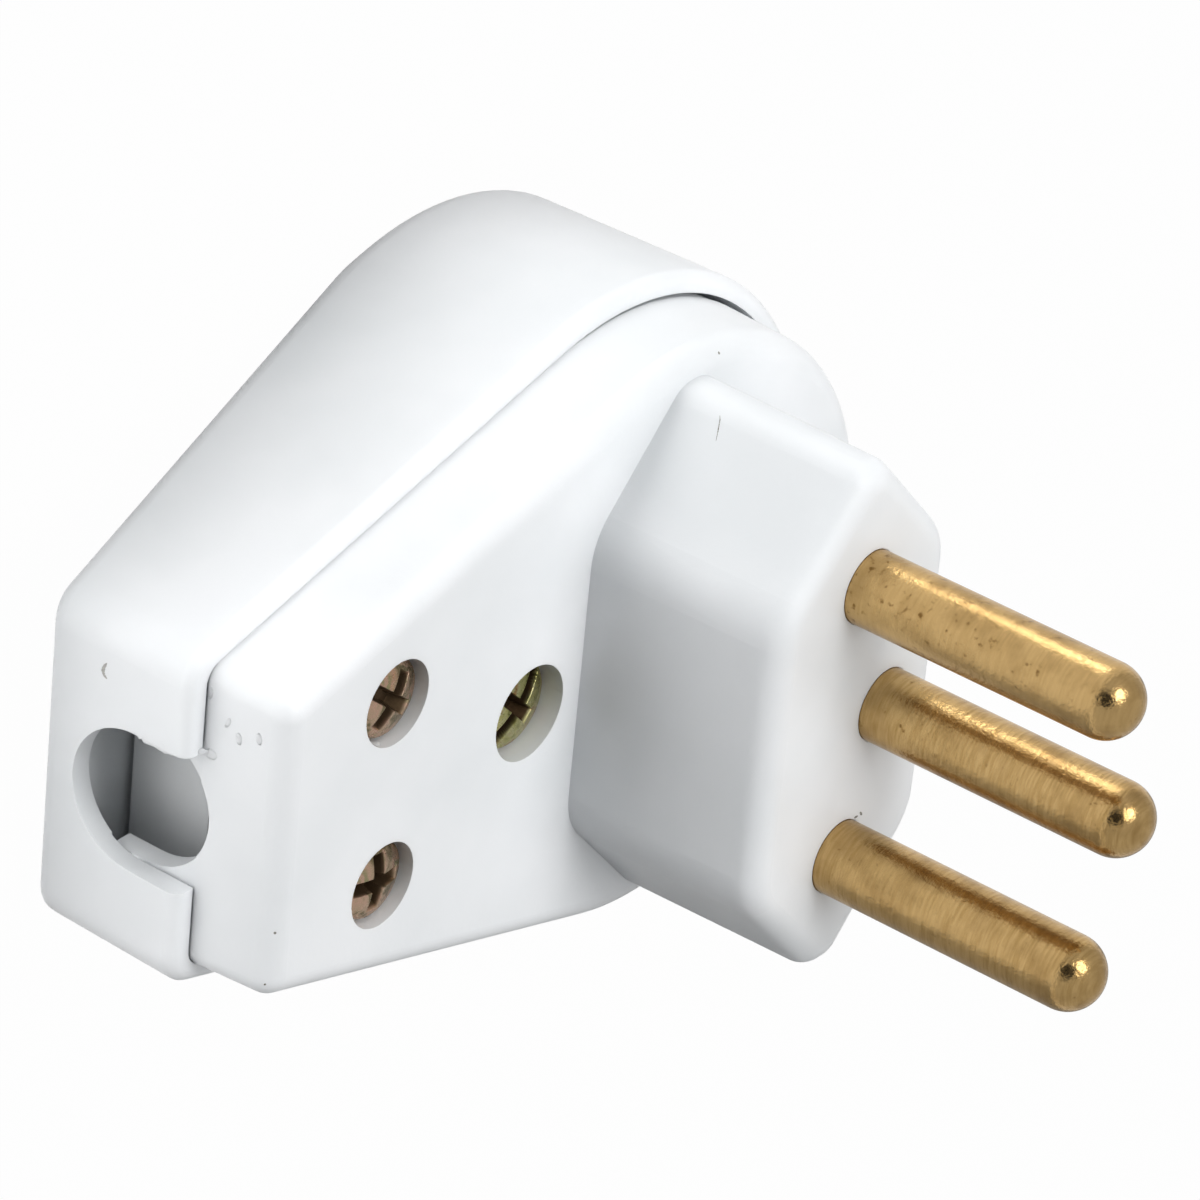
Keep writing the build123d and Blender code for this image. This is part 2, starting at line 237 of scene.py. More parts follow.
class PlugFlawSettings(PropertyGroup):
    """Flash left by the mould, grime and a nick."""

    grime: FloatVectorProperty(
        name="Grime", description="Colour of the grime", subtype="COLOR", default=linear("#6A675F")
    )
    dust: FloatVectorProperty(
        name="Dust", description="Colour of the dust in the nick", subtype="COLOR", default=linear("#A3A19D")
    )
    nick_width: FloatProperty(
        name="Nick width", description="Width of the nick on the end face", unit="LENGTH", default=0.24 * mm
    )
    lip_width: FloatProperty(
        name="Lip width",
        description="Width of the flash along the cord slot",
        unit="LENGTH",
        default=0.85 * mm,
    )
    stub_width: FloatProperty(
        name="Stub width", description="Width of the small lumps of flash", unit="LENGTH", default=0.75 * mm
    )
    lip_height: FloatProperty(
        name="Lip height", description="Height of the flash along the slot", unit="LENGTH", default=0.14 * mm
    )
    stub_height: FloatProperty(
        name="Stub height",
        description="Height of the small lumps of flash",
        unit="LENGTH",
        default=0.045 * mm,
    )
    speck_width: FloatProperty(
        name="Speck width", description="Width of a speck of grime", unit="LENGTH", default=0.17 * mm
    )
    scratch_width: FloatProperty(
        name="Scratch width", description="Width of the scratch", unit="LENGTH", default=0.07 * mm
    )
    mark_height: FloatProperty(
        name="Mark height", description="How far grime stands proud", unit="LENGTH", default=0.015 * mm
    )


class PlugStageSettings(PropertyGroup):
    """Camera, lamps, floor and studio walls."""

    camera_place: FloatVectorProperty(
        name="Camera",
        description="Place of the camera",
        subtype="TRANSLATION",
        default=(-0.3268, 0.2422, 0.2158),
    )
    camera_right: FloatVectorProperty(
        name="Image right",
        description="Direction to the right",
        subtype="XYZ",
        default=(0.62272, 0.08495, 0.77782),
    )
    camera_up: FloatVectorProperty(
        name="Image up",
        description="Direction up the image",
        subtype="XYZ",
        default=(0.35849, 0.85263, -0.38013),
    )
    lens: FloatProperty(name="Lens", description="Focal length in mm", default=231.63)
    sky: FloatProperty(name="Sky light", description="Even light from all round", default=0.0)
    main_power: FloatProperty(
        name="Main lamp",
        description="Power of the main softbox",
        unit="POWER",
        default=1.25,
    )
    side_power: FloatProperty(
        name="Side lamp",
        description="Power of the side softbox",
        unit="POWER",
        default=1.3,
    )
    top_power: FloatProperty(
        name="Top lamp",
        description="Power of the top softbox",
        unit="POWER",
        default=3.3,
    )
    back_power: FloatProperty(
        name="Back lamp",
        description="Power of the back softbox",
        unit="POWER",
        default=0.3,
    )
    table_power: FloatProperty(
        name="Lit table", description="Light off the table beside the plug", unit="POWER", default=0.077
    )
    table_end_power: FloatProperty(
        name="Lit table end", description="Light off the table at the cord end", unit="POWER", default=0.066
    )
    end_power: FloatProperty(
        name="End strip", description="Power of the low strip at the cord end", unit="POWER", default=0.006
    )
    inner_power: FloatProperty(
        name="Inner glow", description="Light that the cord hole lets in", unit="POWER", default=0.00004
    )
    glint_power: FloatProperty(
        name="Glint strip", description="Power of the strip that the pins mirror", unit="POWER", default=0.042
    )
    wall: FloatProperty(name="Walls", description="Tone of the studio walls in reflections", default=0.62)
    floor_colour: FloatVectorProperty(
        name="Floor", description="Colour of the floor", subtype="COLOR", default=linear("#8C8C8C")
    )
    shadow_share: FloatProperty(
        name="Shadow share",
        description="How much of its shadow the floor shows",
        subtype="FACTOR",
        default=0.015,
    )


def add_node(tree, kind, inputs=None, stops=(), **settings):
    """Adds a node with its options, its sockets' values or the sockets that feed them, and a ramp's stops."""
    made = tree.nodes.new(kind)
    for name, value in settings.items():
        setattr(made, name, value)
    for key, value in (inputs or {}).items():
        if isinstance(value, bpy.types.NodeSocket):
            tree.links.new(value, made.inputs[key])
        else:
            made.inputs[key].default_value = value
    for place, _ in stops[2:]:
        made.color_ramp.elements.new(place)
    for index, (place, colour) in enumerate(stops):
        made.color_ramp.elements[index].position = place
        made.color_ramp.elements[index].color = colour
    return made


def new_material(name):
    """An empty node material, ready for a shader."""
    made = bpy.data.materials.new(name)
    made.use_nodes = True
    made.node_tree.nodes.clear()
    return made, made.node_tree


def moulded_abs(name, colour, shade, settings):
    """Moulded ABS: a cool satin skin that scatters a little light, with an eggshell grain and slow waves."""
    made, tree = new_material(name)
    place = add_node(tree, "ShaderNodeTexCoord").outputs["Object"]
    # The width of the flow marks, barely darker than the rest, and of patches of more or less polish.
    flow_width, patch_width = 14 * mm, 5 * mm
    flow = add_node(tree, "ShaderNodeTexNoise", {"Vector": place, "Scale": 1 / flow_width, "Detail": 3.0})
    body = add_node(
        tree,
        "ShaderNodeValToRGB",
        {"Fac": flow.outputs["Fac"]},
        stops=[(0.35, rgba(shade)), (0.62, rgba(colour))],
    )
    patch = add_node(tree, "ShaderNodeTexNoise", {"Vector": place, "Scale": 1 / patch_width, "Detail": 4.0})
    smoother, rougher = 0.05, 0.06
    low, high = settings.roughness - smoother, settings.roughness + rougher
    satin = add_node(
        tree, "ShaderNodeValToRGB", {"Fac": patch.outputs["Fac"]}, stops=[(0.3, grey(low)), (0.7, grey(high))]
    )
    wave = add_node(tree, "ShaderNodeTexNoise", {"Vector": place, "Scale": 1 / settings.wave, "Detail": 1.0})
    slow = add_node(
        tree, "ShaderNodeBump", {"Height": wave.outputs["Fac"], "Strength": 1.0, "Distance": 0.05 * mm}
    )
    grain = add_node(
        tree, "ShaderNodeTexNoise", {"Vector": place, "Scale": 1 / settings.grain, "Detail": 2.0}
    )
    fine = add_node(
        tree,
        "ShaderNodeBump",
        {
            "Height": grain.outputs["Fac"],
            "Strength": 1.0,
            "Distance": 0.006 * mm,
            "Normal": slow.outputs["Normal"],
        },
    )
    shader = add_node(
        tree,
        "ShaderNodeBsdfPrincipled",
        {
            "Base Color": body.outputs["Color"],
            "Roughness": satin.outputs["Color"],
            "Normal": fine.outputs["Normal"],
            "IOR": 1.53,
            "Subsurface Weight": 0.25,
            "Subsurface Radius": (1.0, 1.0, 1.0),
            "Subsurface Scale": 0.8 * mm,
        },
    )
    add_node(tree, "ShaderNodeOutputMaterial", {"Surface": shader.outputs["BSDF"]})
    return made


def turned_brass(name, settings):
    """Turned brass: dull gold, ringed by the lathe, with brown clouds of tarnish and corroded specks."""
    made, tree = new_material(name)
    place = add_node(tree, "ShaderNodeTexCoord").outputs["Object"]
    cloud_width, speck_width, grain_width = 1.8 * mm, 0.45 * mm, 0.25 * mm
    shaft_roughness, dome_roughness, speck_gain = 0.27, 0.21, 0.14
    # Tool rings run round the pin in streaks of 1.7 mm, as far apart as the tool's feed along it.
    streaks_per_metre = 600.0
    squeezed = add_node(
        tree,
        "ShaderNodeMapping",
        {"Vector": place, "Scale": (streaks_per_metre, streaks_per_metre, 1 / settings.feed)},
    )
    rings = add_node(
        tree, "ShaderNodeTexNoise", {"Vector": squeezed.outputs["Vector"], "Scale": 1.0, "Detail": 2.0}
    )
    streaks = add_node(
        tree,
        "ShaderNodeValToRGB",
        {"Fac": rings.outputs["Fac"]},
        stops=[(0.28, rgba(settings.groove_colour)), (0.62, rgba(settings.colour))],
    )
    turning = add_node(tree, "ShaderNodeAttribute", attribute_name="turning")
    ringed = add_node(
        tree,
        "ShaderNodeMix",
        {"Factor": turning.outputs["Fac"], "A": rgba(settings.colour), "B": streaks.outputs["Color"]},
        data_type="RGBA",
    )
    # Tarnish lies in clouds.
    cloud = add_node(tree, "ShaderNodeTexNoise", {"Vector": place, "Scale": 1 / cloud_width, "Detail": 5.0})
    share = add_node(
        tree, "ShaderNodeValToRGB", {"Fac": cloud.outputs["Fac"]}, stops=[(0.45, black), (0.75, grey(0.7))]
    )
    clouded = add_node(
        tree,
        "ShaderNodeMix",
        {"Factor": share.outputs["Color"], "A": ringed.outputs["Result"], "B": rgba(settings.tarnish)},
        data_type="RGBA",
    )
    # Corroded specks, thick where the mesh says so.
    speck = add_node(tree, "ShaderNodeTexNoise", {"Vector": place, "Scale": 1 / speck_width, "Detail": 3.0})
    spots = add_node(tree, "ShaderNodeAttribute", attribute_name="spots")
    thick = add_node(
        tree,
        "ShaderNodeMath",
        {0: spots.outputs["Fac"], 1: speck_gain, 2: speck.outputs["Fac"]},
        operation="MULTIPLY_ADD",
    )
    pitted = add_node(
        tree, "ShaderNodeValToRGB", {"Fac": thick.outputs["Value"]}, stops=[(0.72, black), (0.84, grey(0.9))]
    )
    body = add_node(
        tree,
        "ShaderNodeMix",
        {"Factor": pitted.outputs["Color"], "A": clouded.outputs["Result"], "B": rgba(settings.speck_colour)},
        data_type="RGBA",
    )
    # The domed tips are rubbed smoother than the shafts.
    dome = add_node(tree, "ShaderNodeAttribute", attribute_name="dome")
    soft = add_node(
        tree,
        "ShaderNodeValToRGB",
        {"Fac": dome.outputs["Fac"]},
        stops=[(0.0, grey(shaft_roughness)), (1.0, grey(dome_roughness))],
    )
    tangent = add_node(tree, "ShaderNodeTangent", direction_type="RADIAL", axis="Z")
    furrow = add_node(
        tree,
        "ShaderNodeBump",
        {"Height": rings.outputs["Fac"], "Strength": 1.0, "Distance": 0.003 * mm},
    )
    # A dull grain breaks up the highlights.
    grain = add_node(tree, "ShaderNodeTexNoise", {"Vector": place, "Scale": 1 / grain_width, "Detail": 3.0})
    bump = add_node(
        tree,
        "ShaderNodeBump",
        {
            "Height": grain.outputs["Fac"],
            "Strength": 1.0,
            "Distance": 0.03 * mm,
            "Normal": furrow.outputs["Normal"],
        },
    )
    shader = add_node(
        tree,
        "ShaderNodeBsdfPrincipled",
        {
            "Base Color": body.outputs["Result"],
            "Metallic": 1.0,
            "Roughness": soft.outputs["Color"],
            "Anisotropic": 0.4,
            "Tangent": tangent.outputs["Tangent"],
            "Normal": bump.outputs["Normal"],
        },
    )
    add_node(tree, "ShaderNodeOutputMaterial", {"Surface": shader.outputs["BSDF"]})
    return made


def yellow_zinc(name, films, recess_shade):
    """Yellow chromate on zinc plate: shiny steel whose film drifts between straw, green, pink and brown, with
    painted shade in its recess.
    """
    made, tree = new_material(name)
    place = add_node(tree, "ShaderNodeTexCoord").outputs["Object"]
    film_width, scuff_width, recess_dullness = 1.4 * mm, 0.15 * mm, 0.35
    film = add_node(
        tree,
        "ShaderNodeTexNoise",
        {"Vector": place, "Scale": 1 / film_width, "Detail": 2.0, "Distortion": 0.9},
    )
    drift = add_node(
        tree,
        "ShaderNodeValToRGB",
        {"Fac": film.outputs["Fac"]},
        stops=[(share, rgba(linear(code))) for share, code in films],
    )
    # The struck recess is painted darker as shade, and its thick film there is duller.
    recess = add_node(tree, "ShaderNodeAttribute", attribute_name="recess")
    body = add_node(
        tree,
        "ShaderNodeMix",
        {"Factor": recess.outputs["Fac"], "A": drift.outputs["Color"], "B": rgba(linear(recess_shade))},
        data_type="RGBA",
    )
    # Plating grain with fine struck scuffs.
    scuff = add_node(tree, "ShaderNodeTexNoise", {"Vector": place, "Scale": 1 / scuff_width, "Detail": 4.0})
    soft = add_node(
        tree,
        "ShaderNodeValToRGB",
        {"Fac": scuff.outputs["Fac"]},
        stops=[(0.3, grey(0.22)), (0.75, grey(0.4))],
    )
    dull = add_node(
        tree,
        "ShaderNodeMath",
        {0: recess.outputs["Fac"], 1: recess_dullness, 2: soft.outputs["Color"]},
        operation="MULTIPLY_ADD",
    )
    bump = add_node(
        tree, "ShaderNodeBump", {"Height": scuff.outputs["Fac"], "Strength": 1.0, "Distance": 0.002 * mm}
    )
    shader = add_node(
        tree,
        "ShaderNodeBsdfPrincipled",
        {
            "Base Color": body.outputs["Result"],
            "Metallic": 1.0,
            "Roughness": dull.outputs["Value"],
            "Normal": bump.outputs["Normal"],
        },
    )
    add_node(tree, "ShaderNodeOutputMaterial", {"Surface": shader.outputs["BSDF"]})
    return made


def ground_in_grime(name, colour):
    """Ground-in grime: dull grey-brown dust and grease, in fine patches."""
    made, tree = new_material(name)
    patch_width, pale_dust = 0.1 * mm, linear("#C4C2BD")
    place = add_node(tree, "ShaderNodeTexCoord").outputs["Object"]
    patch = add_node(tree, "ShaderNodeTexNoise", {"Vector": place, "Scale": 1 / patch_width, "Detail": 3.0})
    tone = add_node(
        tree,
        "ShaderNodeValToRGB",
        {"Fac": patch.outputs["Fac"]},
        stops=[(0.4, rgba(colour)), (0.8, rgba(pale_dust))],
    )
    shader = add_node(
        tree, "ShaderNodeBsdfPrincipled", {"Base Color": tone.outputs["Color"], "Roughness": 0.8}
    )
    add_node(tree, "ShaderNodeOutputMaterial", {"Surface": shader.outputs["BSDF"]})
    return made


def plain_object(name, points, faces, material):
    """A mesh object of the given points and faces, in the scene."""
    mesh = bpy.data.meshes.new(name)
    mesh.from_pydata([tuple(p) for p in points], [], faces)
    mesh.validate()
    mesh.materials.append(material)
    made = bpy.data.objects.new(name, mesh)
    bpy.context.scene.collection.objects.link(made)
    return made


def piece(name, points, faces, material, place=Matrix()):
    """A smooth mesh piece that rides on the root, with the given material."""
    made = plain_object(name, points, faces, material)
    made.data.polygons.foreach_set("use_smooth", [True] * len(made.data.polygons))
    made.matrix_world = place
    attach(made, "root")
    return made


def skin(rows, first, last):
    """Points and faces of closed rings of points joined into one skin, with a pole at each end."""
    count, around = rows.shape[:2]
    points = np.vstack([rows.reshape(-1, 3), first, last])
    index = np.arange(count * around).reshape(count, around)
    after = np.roll(index, -1, axis=1)
    faces = np.stack([index[:-1], after[:-1], after[1:], index[1:]], axis=-1).reshape(-1, 4).tolist()
    start, end = count * around, count * around + 1
    faces += [[start, b, a] for a, b in zip(index[0].tolist(), after[0].tolist())]
    faces += [[end, a, b] for a, b in zip(index[-1].tolist(), after[-1].tolist())]
    return points, faces


def ring_points(radii, heights, around):
    """Rings about the Z axis, one for each radius and height."""
    turn = np.linspace(0, 2 * pi, around, endpoint=False)
    rows = np.empty((len(radii), around, 3))
    rows[..., 0] = np.asarray(radii)[:, None] * np.cos(turn)
    rows[..., 1] = np.asarray(radii)[:, None] * np.sin(turn)
    rows[..., 2] = np.asarray(heights)[:, None]
    return rows


def store(made, name, values):
    """Keeps one number for each point of a mesh, which its material reads by name."""
    kept = made.data.attributes.new(name, "FLOAT", "POINT")
    kept.data.foreach_set("value", np.asarray(values, dtype=np.float32).ravel())


def drill(made, start, end, radius, around=32):
    """Cuts a round hole from start to end into a mesh piece."""
    axis = end - start
    turned = Matrix.Translation(start) @ axis.to_track_quat("Z", "Y").to_matrix().to_4x4()
    rows = ring_points([radius, radius], [0, axis.length], around)
    points, faces = skin(rows[::-1], (0, 0, axis.length), (0, 0, 0))
    tool = plain_object("drill", points, faces, made.data.materials[0])
    tool.matrix_world = turned
    cut = made.modifiers.new("hole", "BOOLEAN")
    cut.object = tool
    cut.solver = "EXACT"
    seen = made.evaluated_get(bpy.context.evaluated_depsgraph_get())
    solid = made.data
    made.data = bpy.data.meshes.new_from_object(seen)
    made.modifiers.remove(cut)
    bpy.data.objects.remove(tool)
    made.data.name = solid.name
    bpy.data.meshes.remove(solid)


def dress_node(name, material, sharp_angle):
    """Gives a CAD node its material and smooth shading between its crisp edges."""
    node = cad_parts[name]
    node.data.materials.clear()
    node.data.materials.append(material)
    node.data.polygons.foreach_set("use_smooth", [True] * len(node.data.polygons))
    node.data.set_sharp_from_angle(angle=sharp_angle)
    weighted = node.modifiers.new("even_normals", "WEIGHTED_NORMAL")
    weighted.keep_sharp = True


class PLUG_OT_housing(Operator):
    """Finishes the base, the cover and the cord clamp as mouldings"""

    bl_idname = "plug.housing"
    bl_label = "Housing"

    def execute(self, context):
        settings = context.scene.plug_housing
        shell = moulded_abs("white moulded ABS", settings.colour, settings.shade, settings)
        dress_node("base_housing", shell, settings.sharp_angle)
        dress_node("rear_cover", shell, settings.sharp_angle)
        inner = moulded_abs("grey moulded ABS", settings.clamp_colour, settings.clamp_colour, settings)
        dress_node("cord_clamp", inner, settings.sharp_angle)
        return {"FINISHED"}


class PLUG_OT_pins(Operator):
    """Turns the three brass pins with their tool rings and pillar terminals"""

    bl_idname = "plug.pins"
    bl_label = "Pins"

    def execute(self, context):
        settings = context.scene.plug_pins
        brass = turned_brass("turned brass", settings)
        # Each pin's share of groove depth, and how thick its specks are at the root and at the tip.
        finishes = {
            "phase_pin": (0.45, 0.9, 0.35),
            "earth_pin": (1.0, 0.4, 0.3),
            "neutral_pin": (1.0, 0.3, 0.2),
        }
        first_seed = 20
        for seed, (node, finish) in enumerate(finishes.items(), first_seed):
            self.turn_pin(node, settings, brass, np.random.default_rng(seed), *finish)
        return {"FINISHED"}

    def turn_pin(self, node, settings, brass, rng, groove_share, root_spots, tip_spots):
        """One pin: its dome, its ringed shaft, its neck and its pillar with the two drilled holes."""
        low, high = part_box(node)
        centre = Vector(((low.x + high.x) / 2, (low.y + high.y) / 2, 0))
        tip, foot, radius = high.z, low.z, settings.radius
        shoulder, seat = tip - radius, -settings.seat_depth
        dome_rows, pole_gap, rows_per_ring = 40, 0.03, 4
        bend = np.linspace(pole_gap, pi / 2, dome_rows, endpoint=False)
        shaft = np.arange(shoulder, seat, -settings.feed / rows_per_ring)
        # The tool's feed wanders a little, and each ring is cut as deep as chance has it.
        feed_drift, usual_cut, cut_spread = 0.05, 0.4, 0.3
        turns = np.cumsum(1 / rows_per_ring + rng.normal(0, feed_drift, len(shaft)))
        cut = np.clip(rng.normal(usual_cut, cut_spread, int(turns[-1]) + 2), 0, 1)[turns.astype(int)]
        depth = settings.groove * groove_share * cut * (0.5 - 0.5 * np.cos(2 * pi * turns))
        # The rings fade out where the shaft runs into the dome.
        depth *= np.clip((shoulder - shaft) / radius, 0, 1)
        pillar, top, chamfer = settings.pillar_radius, -settings.pillar_top, settings.pillar_chamfer
        below = (
            (radius, seat),
            (settings.neck_radius, seat),
            (settings.neck_radius, top),
            (pillar, top),
            (pillar, foot + chamfer),
            (pillar - chamfer, foot),
        )
        radii = np.concatenate([radius * np.sin(bend), radius - depth, [ring[0] for ring in below]])
        heights = np.concatenate([shoulder + radius * np.cos(bend), shaft, [ring[1] for ring in below]])
        rows = ring_points(radii, heights, settings.around) + np.array(centre)
        points, faces = skin(rows, centre + Vector((0, 0, tip)), centre + Vector((0, 0, foot)))
        made = piece(f"turned_{node}", points, faces, brass)
        share = np.clip(points[:, 2] / shoulder, 0, 1)
        store(made, "spots", root_spots + (tip_spots - root_spots) * share)
        store(made, "turning", np.full(len(points), groove_share))
        dome_blend = 0.3 * radius
        store(made, "dome", np.clip((points[:, 2] - shoulder) / dome_blend, 0, 1))
        wire = centre + Vector((0, 0, -settings.wire_depth))
        across, under = Vector((2 * pillar, 0, 0)), centre + Vector((0, 0, foot - chamfer))
        drill(made, wire - across, wire + across, settings.wire_radius)
        drill(made, under, wire, settings.tapped_radius)
        made.data.set_sharp_from_angle(angle=turned_edge)
        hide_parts(node)


class PLUG_OT_screws(Operator):
    """Makes the plated screws of the clamp and the cover, and plates the terminal screws"""

    bl_idname = "plug.screws"
    bl_label = "Screws"

    def execute(self, context):
        settings = context.scene.plug_screws
        # Each plate's last colour is the painted shade deep in its recess.
        green = yellow_zinc(
            "yellow zinc plate, straw and green",
            [(0.36, "#8D8B52"), (0.46, "#B7B274"), (0.55, "#C2BD8C"), (0.66, "#A58152")],
            "#4C3B29",
        )
        bronze = yellow_zinc(
            "yellow zinc plate, pink and brown",
            [(0.36, "#7E7256"), (0.46, "#BBA288"), (0.55, "#C7A48E"), (0.66, "#9A9470")],
            "#66543F",
        )
        clamp = (settings.clamp_head, settings.clamp_height, settings.clamp_length, settings.clamp_span)
        cover = (settings.cover_head, settings.cover_height, settings.cover_length, settings.cover_span)
        # Each screw stands at the angle that it was left at.
        self.make_screw("clamp_screw_phase_side", settings, bronze, *clamp, radians(52), False)
        self.make_screw("clamp_screw_neutral_side", settings, bronze, *clamp, radians(86), False)
        self.make_screw("cover_screw", settings, green, *cover, radians(45.6), True)
        for name in ("phase_terminal_screw", "neutral_terminal_screw", "earth_terminal_screw"):
            dress_node(name, green, slotted_edge)
        return {"FINISHED"}

    def make_screw(self, node, settings, plate, diameter, height, length, span, angle, slotted):
        """One screw: a low domed head with its recess, and a threaded shank."""
        low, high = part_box(node)
        head, rim, around = diameter / 2, settings.rim_share * height, settings.around
        dome = height - rim
        dome_radius = (head**2 + dome**2) / (2 * dome)
        # Rows of points from the head's middle to its rim, as shares of its radius.
        edge = np.concatenate([np.linspace(0.02, 0.97, 66), [0.985, 0.995, 1.0]]) * head
        top = height - dome_radius + np.sqrt(dome_radius**2 - edge**2)
        # The dome rolls over softly into the rim.
        roll_depth, roll_start, roll_width = 0.08 * mm, 0.93, 0.07
        top -= roll_depth * np.clip((edge / head - roll_start) / roll_width, 0, 1) ** 2
        rows = ring_points(edge, top, around)
        depth = self.recess(rows[..., 0], rows[..., 1], settings, span, slotted)
        # The head stays inside the height of the node that it replaces.
        rows[..., 2] = np.minimum(rows[..., 2] - depth, high.z - (low.z + length))
        root = settings.shank_radius - settings.thread_depth
        neck, tip, edge_break, rows_per_turn = 0.3 * mm, 0.5 * mm, 0.05 * mm, 8
        below = np.arange(-neck, -length + tip, -settings.thread_pitch / rows_per_turn)
        # The rim drops straight to a broken edge, and the underside is flat.
        side = ring_points([head, head, head - edge_break, root], [rim * 0.6, edge_break, 0, 0], around)
        thread = ring_points(np.full(len(below), root), below, around)
        turn = np.linspace(0, 1, around, endpoint=False)
        phase = np.mod(thread[..., 2] / settings.thread_pitch + turn[None, :], 1)
        crest = 1 + settings.thread_depth * (1 - np.abs(2 * phase - 1)) / root
        thread[..., :2] *= crest[..., None]
        # The thread runs out into a blunt tip.
        point = ring_points([root - 0.1 * mm, root - 0.5 * mm], [-length + 0.3 * mm, -length], around)
        points, faces = skin(
            np.concatenate([rows, side, thread, point]), (0, 0, rows[0, :, 2].mean()), (0, 0, -length)
        )
        place = Matrix.Translation(((low.x + high.x) / 2, (low.y + high.y) / 2, low.z + length))
        made = piece(f"plated_{node}", points, faces, plate, place @ Matrix.Rotation(angle, 4, "Z"))
        # The painted shade deepens over the first fifth of the recess's depth.
        shade_share = 0.2
        dark = np.zeros(len(points))
        dark[: depth.size] = np.clip(depth / (shade_share * settings.recess_depth), 0, 1).ravel()
        # The pole in the middle of the head lies in the recess, in full painted shade.
        dark[-2] = 1
        store(made, "recess", dark)
        made.data.set_sharp_from_angle(angle=struck_edge)
        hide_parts(node)

    def recess(self, x, y, settings, span, slotted):
        """Depth of the recess: arms with steep flanks and sloped ends, and one arm run out into a slot."""
        half, deep = settings.recess_width / 2, settings.recess_depth
        flank_slope, end_slope, slot_share, lip = 5.5, 1.5, 0.75, 0.12 * mm
        depth = np.zeros_like(x)
        for along, across in ((x, y), (y, x)):
            flank = (half - np.abs(across)) * flank_slope
            end = (span / 2 - np.abs(along)) * end_slope
            depth = np.maximum(depth, np.clip(np.minimum(flank, end), 0, deep))
        if slotted:
            depth = np.maximum(depth, np.clip((half - np.abs(y)) * flank_slope, 0, slot_share * deep))
        # Struck edges are soft: the first part of the wall rolls over.
        return np.where(depth < lip, depth**2 / (2 * lip), depth - lip / 2)


